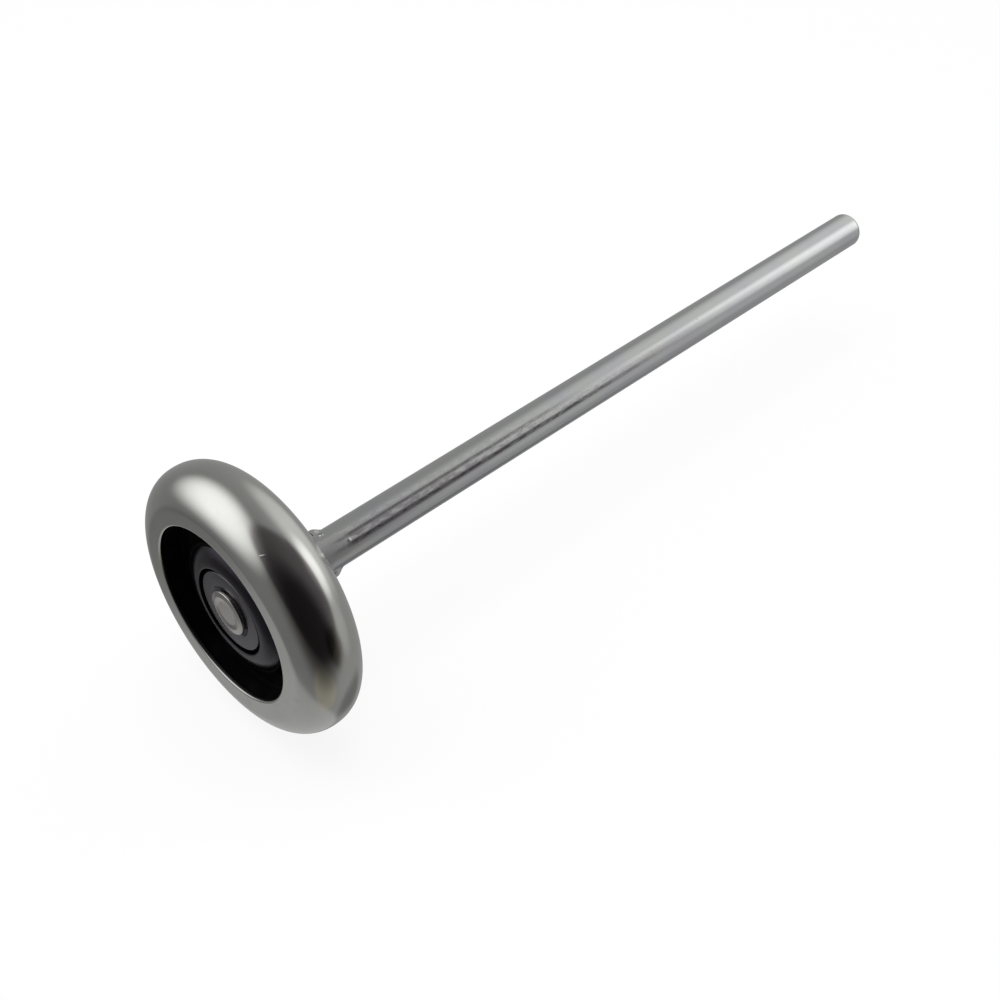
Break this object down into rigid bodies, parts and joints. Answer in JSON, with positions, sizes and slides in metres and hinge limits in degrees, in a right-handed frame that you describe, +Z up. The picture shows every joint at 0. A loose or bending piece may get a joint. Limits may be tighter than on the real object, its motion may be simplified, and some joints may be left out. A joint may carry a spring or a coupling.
{
  "type": "stem roller for a sectional door",
  "caption": "Door track roller: a rounded rolled-steel tyre on a black moulded core with a shielded ball bearing, turning on a long plain steel stem with staked ears.",
  "frame": {"origin": "on the stem's axis where a hinge sleeve stops against the ears, 26 mm behind the wheel's middle plane", "axes": "+Y along the stem towards its tip, the wheel's open face looks along -Y, +Z up"},
  "size_m": [0.075, 0.257, 0.075],
  "materials": {
    "tyre_zinc": "satin zinc plate on rolled steel",
    "stem_zinc": "zinc plate on drawn rod, with die marks",
    "race_steel": "dark oxide, satin",
    "shield_steel": "dark satin coat",
    "core_nylon": "black moulded, semi-gloss",
    "cage_nylon": "black moulded",
    "ball_steel": "polished"
  },
  "bodies": {
    "stem": {"stem": "stem_zinc", "rear_spacer": "stem_zinc", "inner_race_front": "race_steel", "inner_race_rear": "race_steel"},
    "wheel": {"tyre": "tyre_zinc", "wheel_core": "core_nylon", "outer_race": "race_steel", "front_shield": "shield_steel", "rear_shield": "shield_steel"},
    "cage": {"ball_cage": "cage_nylon"},
    "ball_01": {"ball_01": "ball_steel"},
    "ball_02": {"ball_02": "ball_steel"},
    "ball_03": {"ball_03": "ball_steel"},
    "ball_04": {"ball_04": "ball_steel"},
    "ball_05": {"ball_05": "ball_steel"},
    "ball_06": {"ball_06": "ball_steel"},
    "ball_07": {"ball_07": "ball_steel"},
    "ball_08": {"ball_08": "ball_steel"},
    "ball_09": {"ball_09": "ball_steel"},
    "ball_10": {"ball_10": "ball_steel"}
  },
  "joints": [
    {"name": "wheel_spin", "type": "hinge", "parent": "stem", "child": "wheel", "pos_m": [0, -0.026, 0], "axis": [0, 1, 0], "continuous": true},
    {"name": "cage_spin", "type": "hinge", "parent": "stem", "child": "cage", "pos_m": [0, -0.026, 0], "axis": [0, 1, 0], "continuous": true},
    {"name": "ball_01_spin", "type": "hinge", "parent": "cage", "child": "ball_01", "pos_m": [0.01185, -0.026, 0], "axis": [0, 1, 0], "continuous": true},
    {"name": "ball_02_spin", "type": "hinge", "parent": "cage", "child": "ball_02", "pos_m": [0.00959, -0.026, 0.00697], "axis": [0, 1, 0], "continuous": true},
    {"name": "ball_03_spin", "type": "hinge", "parent": "cage", "child": "ball_03", "pos_m": [0.00366, -0.026, 0.01127], "axis": [0, 1, 0], "continuous": true},
    {"name": "ball_04_spin", "type": "hinge", "parent": "cage", "child": "ball_04", "pos_m": [-0.00366, -0.026, 0.01127], "axis": [0, 1, 0], "continuous": true},
    {"name": "ball_05_spin", "type": "hinge", "parent": "cage", "child": "ball_05", "pos_m": [-0.00959, -0.026, 0.00697], "axis": [0, 1, 0], "continuous": true},
    {"name": "ball_06_spin", "type": "hinge", "parent": "cage", "child": "ball_06", "pos_m": [-0.01185, -0.026, 0], "axis": [0, 1, 0], "continuous": true},
    {"name": "ball_07_spin", "type": "hinge", "parent": "cage", "child": "ball_07", "pos_m": [-0.00959, -0.026, -0.00697], "axis": [0, 1, 0], "continuous": true},
    {"name": "ball_08_spin", "type": "hinge", "parent": "cage", "child": "ball_08", "pos_m": [-0.00366, -0.026, -0.01127], "axis": [0, 1, 0], "continuous": true},
    {"name": "ball_09_spin", "type": "hinge", "parent": "cage", "child": "ball_09", "pos_m": [0.00366, -0.026, -0.01127], "axis": [0, 1, 0], "continuous": true},
    {"name": "ball_10_spin", "type": "hinge", "parent": "cage", "child": "ball_10", "pos_m": [0.00959, -0.026, -0.00697], "axis": [0, 1, 0], "continuous": true}
  ],
  "couplings": [
    {"joint": "cage_spin", "follows": "wheel_spin", "ratio": 0.62658},
    {"joint": "ball_01_spin", "follows": "wheel_spin", "ratio": 1.8484},
    {"joint": "ball_02_spin", "follows": "wheel_spin", "ratio": 1.8484},
    {"joint": "ball_03_spin", "follows": "wheel_spin", "ratio": 1.8484},
    {"joint": "ball_04_spin", "follows": "wheel_spin", "ratio": 1.8484},
    {"joint": "ball_05_spin", "follows": "wheel_spin", "ratio": 1.8484},
    {"joint": "ball_06_spin", "follows": "wheel_spin", "ratio": 1.8484},
    {"joint": "ball_07_spin", "follows": "wheel_spin", "ratio": 1.8484},
    {"joint": "ball_08_spin", "follows": "wheel_spin", "ratio": 1.8484},
    {"joint": "ball_09_spin", "follows": "wheel_spin", "ratio": 1.8484},
    {"joint": "ball_10_spin", "follows": "wheel_spin", "ratio": 1.8484}
  ]
}
